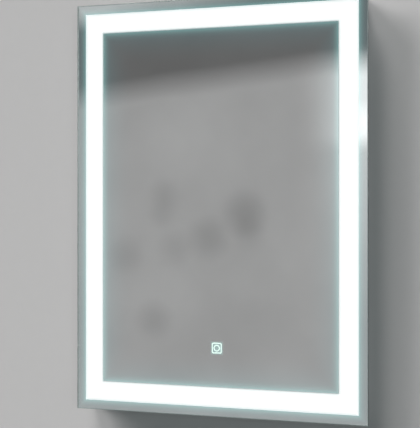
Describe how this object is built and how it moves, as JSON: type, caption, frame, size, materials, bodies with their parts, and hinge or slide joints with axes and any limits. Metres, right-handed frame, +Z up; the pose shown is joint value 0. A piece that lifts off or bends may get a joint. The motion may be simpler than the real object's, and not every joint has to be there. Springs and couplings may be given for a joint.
{
  "type": "lighted bathroom mirror",
  "caption": "Wall-hung rectangular mirror with a lit frosted band inside its edge and a touch switch, on an inset aluminium frame that hooks over a wall rail.",
  "frame": {"origin": "middle of the wall rail's two outer screw slots, on the wall plane", "axes": "+X to the right as seen from the front, +Y into the wall, so the mirror faces -Y, +Z up"},
  "size_m": [0.6, 0.04, 0.8],
  "materials": {
    "float_glass": "polished",
    "silvering": "mirror",
    "opal_panel": "frosted",
    "touch_glow": "frosted",
    "frame_aluminium": "satin anodised",
    "rail_aluminium": "mill finish",
    "key_zinc": "die cast",
    "galvanised_sheet": "galvanised",
    "zinc_screws": "bright zinc",
    "rivet_aluminium": "plain",
    "rubber": "matte",
    "silicone": "matte",
    "foam": "matte",
    "strip_film": "satin",
    "driver_plastic": "matte",
    "circuit_board": "satin",
    "coil_wrap": "satin",
    "capacitor_sleeve": "gloss",
    "terminal_nylon": "satin",
    "terminal_brass": "plated",
    "touch_plastic": "matte",
    "lead_sheath": "matte",
    "clip_nylon": "satin"
  },
  "bodies": {
    "wall_bracket": {"wall_rail": "rail_aluminium"},
    "mirror": {"mirror_glass": "float_glass", "silver_field": "silvering", "silver_rim": "silvering", "glass_bond": "silicone", "light_seal": "foam", "strip_links": "strip_film", "corner_grub_screws": "zinc_screws", "back_panel": "galvanised_sheet", "panel_screws": "zinc_screws", "device_screws": "zinc_screws", "spacer_screws": "zinc_screws", "hanger_rail": "rail_aluminium", "hanger_rivets": "rivet_aluminium", "spacer_left": "rubber", "spacer_right": "rubber", "cable_grommet": "rubber", "terminal_block": "terminal_nylon", "terminal_screws": "terminal_brass", "driver_base": "driver_plastic", "driver_lid": "driver_plastic", "driver_board": "circuit_board", "driver_coil": "coil_wrap", "driver_capacitors": "capacitor_sleeve", "touch_light_guide": "touch_glow", "touch_board": "circuit_board", "touch_bond_pad": "foam", "touch_case": "touch_plastic", "mains_lead": "lead_sheath", "lamp_lead": "lead_sheath", "touch_lead": "lead_sheath", "lead_clips": "clip_nylon", "frame_top": "frame_aluminium", "diffuser_top": "opal_panel", "lamp_strip_top": "strip_film", "frame_bottom": "frame_aluminium", "diffuser_bottom": "opal_panel", "lamp_strip_bottom": "strip_film", "frame_left": "frame_aluminium", "diffuser_left": "opal_panel", "lamp_strip_left": "strip_film", "frame_right": "frame_aluminium", "diffuser_right": "opal_panel", "lamp_strip_right": "strip_film", "corner_key_top_left": "key_zinc", "corner_key_top_right": "key_zinc", "corner_key_bottom_left": "key_zinc", "corner_key_bottom_right": "key_zinc"}
  },
  "joints": [
    {"name": "lift_off", "type": "slide", "parent": "wall_bracket", "child": "mirror", "axis": [0, 0, 1], "range_m": [0, 0.012]}
  ]
}
